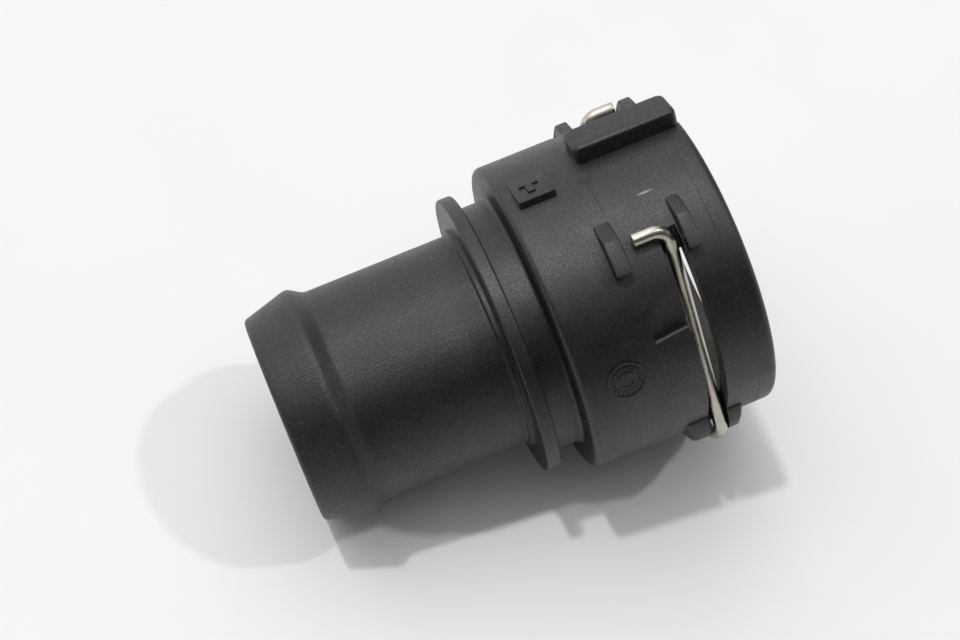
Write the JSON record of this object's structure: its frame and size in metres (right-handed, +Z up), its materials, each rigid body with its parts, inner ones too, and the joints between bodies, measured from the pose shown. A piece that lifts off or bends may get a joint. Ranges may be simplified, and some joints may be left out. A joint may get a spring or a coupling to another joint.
{
  "type": "quick-connect hose coupling",
  "caption": "Female quick-connect hose coupling: beaded hose spigot with stop flange, plug socket with side slots, and a U-shaped wire retaining clip",
  "frame": {"origin": "centre of the bounding box's bottom, with the coupling lying on a table on its hose bead, the edge of its socket and the bow of its clip", "axes": "+Z up; +X from the hose end towards the socket mouth, whose axis rises 10.4 degrees towards the mouth; the front slot faces -Y and up"},
  "size_m": [0.0744, 0.0516, 0.0528],
  "materials": {
    "black_polyamide": "fine spark-eroded texture, coarser on the hose spigot",
    "seal_rubber": "smooth",
    "natural_polyamide": "smooth",
    "spring_wire": "bright drawn stainless"
  },
  "bodies": {
    "coupling": {"coupling_body": "black_polyamide", "seal_ring_inner": "seal_rubber", "spacer_ring": "natural_polyamide", "seal_ring_outer": "seal_rubber", "retainer_ring": "natural_polyamide"},
    "clip": {"clip_bow": "spring_wire"},
    "leg_front": {"clip_leg_front": "spring_wire"},
    "leg_rear": {"clip_leg_rear": "spring_wire"}
  },
  "joints": [
    {"name": "clip_pull", "type": "slide", "parent": "coupling", "child": "clip", "axis": [0.1563, -0.506, -0.8482], "range_m": [0, 0.008], "stiffness_N_per_m": 400},
    {"name": "leg_front_spread", "type": "hinge", "parent": "clip", "child": "leg_front", "pos_m": [0.02696, -0.02137, 0.01126], "axis": [0.9834, 0, 0.1812], "range_deg": [0, 9.2]},
    {"name": "leg_rear_spread", "type": "hinge", "parent": "clip", "child": "leg_rear", "pos_m": [0.02882, -0.00384, 0.00114], "axis": [-0.9834, 0, -0.1812], "range_deg": [0, 9.2]}
  ],
  "couplings": [
    {"joint": "leg_front_spread", "follows": "clip_pull", "rad_per_m": 20},
    {"joint": "leg_rear_spread", "follows": "clip_pull", "rad_per_m": 20}
  ]
}
